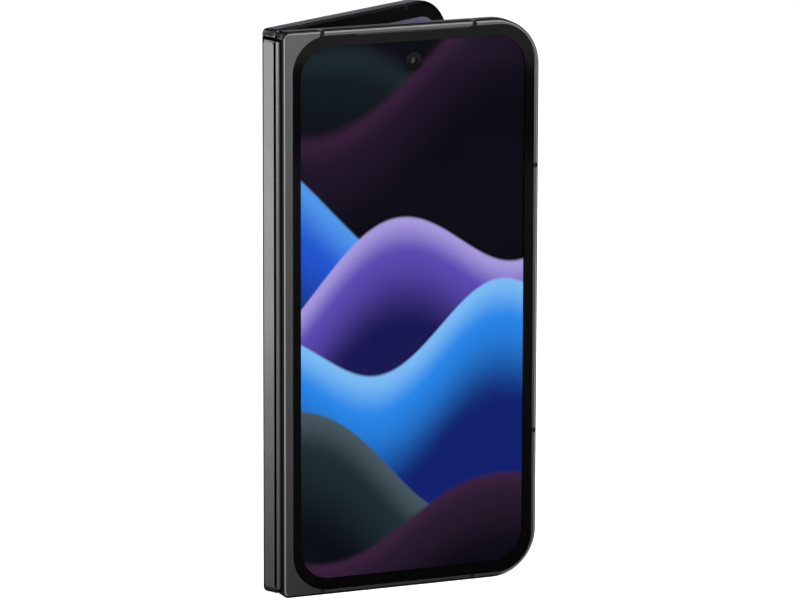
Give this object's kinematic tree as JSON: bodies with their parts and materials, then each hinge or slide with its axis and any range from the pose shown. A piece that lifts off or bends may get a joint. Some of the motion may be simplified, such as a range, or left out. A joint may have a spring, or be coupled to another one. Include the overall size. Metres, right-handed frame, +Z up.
{
  "type": "foldable smartphone",
  "caption": "Book-style folding telephone half open on its edge: two thin halves on a geared two-axis hinge under a metal spine, with cover and inner displays.",
  "frame": {"origin": "middle of the box round the half-open telephone, on the plane it stands on", "axes": "+Z up along the hinge, +X from the hinge along the front half, +Y from the cover display into the opening"},
  "size_m": [0.0772, 0.045, 0.1552],
  "materials": {
    "satin_frame": "satin anodised",
    "polished_spine": "semi-gloss anodised",
    "break_plastic": "fine matt",
    "dark_glass": "polished glass over black",
    "back_finish": "frosted glass",
    "lit_display": "lit screen",
    "inner_screen": "soft folding screen",
    "black_plastic": "moulded",
    "camera_black": "coated lens",
    "flash": "clear plastic",
    "battery_wrap": "foil wrap",
    "copper": "enamelled wire",
    "board": "solder mask",
    "hinge_steel": "machined"
  },
  "bodies": {
    "front_half": {"front_frame": "satin_frame", "front_antenna_breaks": "break_plastic", "cover_glass": "dark_glass", "cover_display": "lit_display", "cover_camera": "camera_black", "earpiece_mesh": "black_plastic", "front_battery": "battery_wrap", "front_magnets": "hinge_steel", "front_board": "board", "inner_display_front": "inner_screen", "inner_trim_front": "black_plastic", "front_hinge_arms": "hinge_steel", "front_hinge_shafts": "hinge_steel", "front_arm_screws": "hinge_steel"},
    "hinge_spine": {"hinge_cover": "polished_spine", "hinge_blocks": "hinge_steel", "friction_clips": "hinge_steel", "display_rest": "hinge_steel", "display_fold_front": "inner_screen", "display_fold_rear": "inner_screen"},
    "rear_half": {"rear_frame": "satin_frame", "rear_antenna_breaks": "break_plastic", "back_glass": "back_finish", "camera_island": "satin_frame", "camera_window": "dark_glass", "rear_cameras": "camera_black", "flash_lens": "flash", "main_board": "board", "rear_battery": "battery_wrap", "charging_coil": "copper", "charging_port": "hinge_steel", "speaker": "black_plastic", "vibration_motor": "hinge_steel", "inner_camera": "camera_black", "inner_display_rear": "inner_screen", "inner_trim_rear": "black_plastic", "rear_hinge_arms": "hinge_steel", "rear_hinge_shafts": "hinge_steel", "rear_arm_screws": "hinge_steel", "rear_magnets": "hinge_steel", "button_switches": "hinge_steel"},
    "power_key": {"power_button": "satin_frame"},
    "volume_key": {"volume_rocker": "satin_frame"},
    "card_tray": {"sim_tray": "satin_frame"}
  },
  "joints": [
    {"name": "front_fold", "type": "hinge", "parent": "front_half", "child": "hinge_spine", "pos_m": [-0.03455, -0.01852, 0], "axis": [0, 0, 1], "range_deg": [-14.38, 75.62], "deforming": ["display_fold_front", "display_fold_rear"]},
    {"name": "rear_fold", "type": "hinge", "parent": "hinge_spine", "child": "rear_half", "pos_m": [-0.0352, -0.016, 0], "axis": [0, 0, 1], "range_deg": [-14.38, 75.62]},
    {"name": "power_press", "type": "slide", "parent": "rear_half", "child": "power_key", "axis": [-0.8767, -0.481, 0], "range_m": [0, 0.00025], "stiffness_N_per_m": 4000, "springref_m": -0.0001},
    {"name": "volume_press", "type": "slide", "parent": "rear_half", "child": "volume_key", "axis": [-0.8767, -0.481, 0], "range_m": [0, 0.00025], "stiffness_N_per_m": 4000, "springref_m": -0.0001},
    {"name": "tray_pull", "type": "slide", "parent": "front_half", "child": "card_tray", "axis": [0, 0, -1], "range_m": [0, 0.02]}
  ],
  "couplings": [
    {"joint": "rear_fold", "follows": "front_fold", "ratio": 1}
  ]
}
